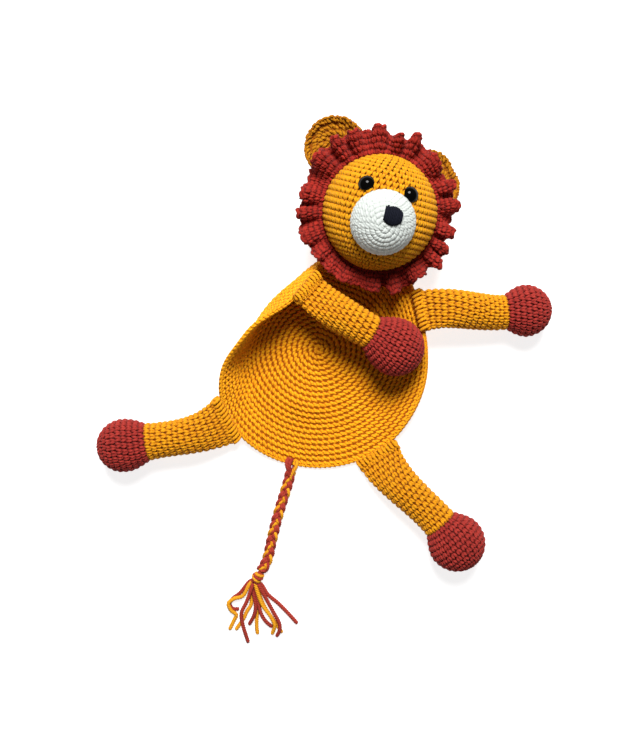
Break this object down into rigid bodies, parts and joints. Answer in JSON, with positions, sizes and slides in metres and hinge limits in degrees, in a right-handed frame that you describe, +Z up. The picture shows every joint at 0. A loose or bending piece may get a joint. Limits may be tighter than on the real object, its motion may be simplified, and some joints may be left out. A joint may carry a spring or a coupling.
{
  "type": "crocheted comforter toy",
  "caption": "Small round crocheted comforter blanket with a stuffed lion's head, gathered mane, four stuffed limbs and a braided tail with a tassel.",
  "frame": {"origin": "centre of the blanket's round floor, on its flat underside, which lies on the table", "axes": "+Z up out of the table, +Y from the blanket's centre towards the head, +X to the lion's left"},
  "size_m": [0.3098, 0.4164, 0.1011],
  "materials": {
    "yellow_yarn": "matte mustard cotton yarn, single crochet",
    "red_yarn": "matte brick-red cotton yarn, single crochet",
    "mane_yarn": "matte dark red cotton yarn, gathered",
    "white_yarn": "matte white cotton yarn, single crochet",
    "navy_yarn": "satin-stitched navy thread",
    "eye_plastic": "polished black plastic",
    "washer_plastic": "moulded white plastic",
    "stuffing": "loose polyester fibre"
  },
  "bodies": {
    "blanket": {"blanket": "yellow_yarn", "tail_anchor": "red_yarn", "left_arm_stitching": "yellow_yarn", "right_arm_stitching": "yellow_yarn", "left_leg_stitching": "yellow_yarn", "right_leg_stitching": "yellow_yarn"},
    "neck": {"neck_stitching": "yellow_yarn"},
    "head": {"head_cover": "yellow_yarn", "head_stuffing": "stuffing", "muzzle_cover": "white_yarn", "muzzle_stuffing": "stuffing", "nose": "navy_yarn", "right_eye": "eye_plastic", "left_eye": "eye_plastic", "right_eye_washer": "washer_plastic", "left_eye_washer": "washer_plastic", "mane": "mane_yarn"},
    "right_ear": {"right_ear": "yellow_yarn"},
    "left_ear": {"left_ear": "yellow_yarn"},
    "left_arm": {"left_arm_sleeve": "yellow_yarn", "left_arm_paw": "red_yarn", "left_arm_stuffing": "stuffing"},
    "right_arm": {"right_arm_sleeve": "yellow_yarn", "right_arm_paw": "red_yarn", "right_arm_stuffing": "stuffing"},
    "left_leg": {"left_leg_sleeve": "yellow_yarn", "left_leg_paw": "red_yarn", "left_leg_stuffing": "stuffing"},
    "right_leg": {"right_leg_sleeve": "yellow_yarn", "right_leg_paw": "red_yarn", "right_leg_stuffing": "stuffing"},
    "tail": {"tail_braid": "red_yarn", "tail_knot": "yellow_yarn", "tassel_yarn_01": "yellow_yarn", "tassel_yarn_02": "red_yarn", "tassel_yarn_03": "red_yarn", "tassel_yarn_04": "yellow_yarn", "tassel_yarn_05": "yellow_yarn", "tassel_yarn_06": "red_yarn", "tassel_yarn_07": "yellow_yarn", "tassel_yarn_08": "red_yarn", "tassel_yarn_09": "yellow_yarn", "tassel_yarn_10": "red_yarn", "tassel_yarn_11": "red_yarn"}
  },
  "joints": [
    {"name": "head_nod", "type": "hinge", "parent": "blanket", "child": "neck", "pos_m": [0.0115, 0.0906, 0.004], "axis": [1, 0, 0], "range_deg": [0, 4]},
    {"name": "head_turn", "type": "hinge", "parent": "neck", "child": "head", "pos_m": [0.0122, 0.1107, 0.0435], "axis": [0, 0.446, 0.895], "range_deg": [-15, 15], "stiffness_Nm_per_rad": 0.05},
    {"name": "right_ear_fold", "type": "hinge", "parent": "head", "child": "right_ear", "pos_m": [-0.02221, 0.13883, 0.0354], "axis": [-0.6138, -0.782, -0.1085], "range_deg": [0, 20], "stiffness_Nm_per_rad": 0.01},
    {"name": "left_ear_fold", "type": "hinge", "parent": "head", "child": "left_ear", "pos_m": [0.04086, 0.14389, 0.03268], "axis": [-0.7189, 0.6749, 0.1661], "range_deg": [0, 10], "stiffness_Nm_per_rad": 0.01},
    {"name": "left_arm_lift", "type": "hinge", "parent": "blanket", "child": "left_arm", "pos_m": [0.0654, 0.05117, 0.0278], "axis": [0.4841, -0.8584, 0.1696], "range_deg": [0, 80]},
    {"name": "right_arm_unfold", "type": "hinge", "parent": "blanket", "child": "right_arm", "pos_m": [-0.02326, 0.04067, 0.03993], "axis": [-0.17, -0.92, 0.353], "range_deg": [0, 80]},
    {"name": "left_leg_lift", "type": "hinge", "parent": "blanket", "child": "left_leg", "pos_m": [0.06968, -0.06493, 0.00915], "axis": [-0.6206, -0.7602, -0.1923], "range_deg": [0, 80]},
    {"name": "right_leg_lift", "type": "hinge", "parent": "blanket", "child": "right_leg", "pos_m": [-0.05068, -0.07517, 0.01745], "axis": [-0.6573, 0.6808, 0.3232], "range_deg": [0, 80]},
    {"name": "tail_swing", "type": "hinge", "parent": "blanket", "child": "tail", "pos_m": [0.009, -0.0994, 0.0033], "axis": [0, 0, 1], "range_deg": [-25, 25]}
  ]
}
